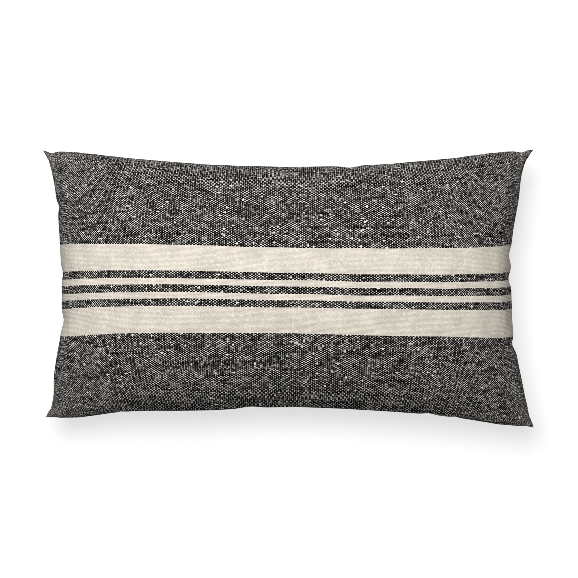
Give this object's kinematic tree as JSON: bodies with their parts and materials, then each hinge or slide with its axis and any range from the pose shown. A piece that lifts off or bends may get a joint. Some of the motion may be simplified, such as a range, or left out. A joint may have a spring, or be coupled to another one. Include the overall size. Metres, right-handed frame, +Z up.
{
  "type": "lumbar throw pillow",
  "caption": "Oblong stuffed pillow with a striped woven cover, a concealed zip in its lower edge and a separate stuffed insert.",
  "frame": {"origin": "middle of the face that it rests on when it lies on its back", "axes": "+X along the long sides and the stripes, +Y across them away from the zip, +Z up through the pillow's thickness"},
  "size_m": [0.592, 0.334, 0.14],
  "materials": {
    "cover_cloth": "plain weave, near-black slub weft on cream warp, with cream bands",
    "sewing_thread": "spun polyester thread",
    "zip_tape": "fine twill tape",
    "zip_coil": "nylon coil",
    "zip_metal": "black enamel on zinc",
    "label_cloth": "woven satin ribbon, blank",
    "ticking": "plain cotton ticking",
    "fibre_fill": "loose siliconised fibre",
    "insert_thread": "cotton thread"
  },
  "bodies": {
    "root": {"cover_front_panel": "cover_cloth", "cover_back_panel": "cover_cloth", "cover_seam_thread": "sewing_thread", "cover_overlock_thread": "sewing_thread", "zip_tape_upper": "zip_tape", "zip_tape_lower": "zip_tape", "zip_teeth_upper": "zip_coil", "zip_teeth_lower": "zip_coil", "zip_tape_stitches": "sewing_thread", "zip_bottom_stop": "zip_metal", "zip_top_stops": "zip_coil", "care_label": "label_cloth", "insert_label": "label_cloth", "insert_front_panel": "ticking", "insert_back_panel": "ticking", "insert_fill": "fibre_fill", "insert_seam_thread": "insert_thread", "insert_closing_stitches": "insert_thread"},
    "zip_slider": {"zip_slider": "zip_metal"},
    "zip_pull": {"zip_pull": "zip_metal"}
  },
  "joints": [
    {"name": "zip_slide", "type": "slide", "parent": "root", "child": "zip_slider", "axis": [-1, 0, 0], "range_m": [0, 0.2872], "deforming": ["zip_teeth_upper", "zip_teeth_lower"]},
    {"name": "pull_flip", "type": "hinge", "parent": "zip_slider", "child": "zip_pull", "pos_m": [0.1455, -0.1448, 0.064], "axis": [0, 0, 1], "range_deg": [0, 175]}
  ]
}
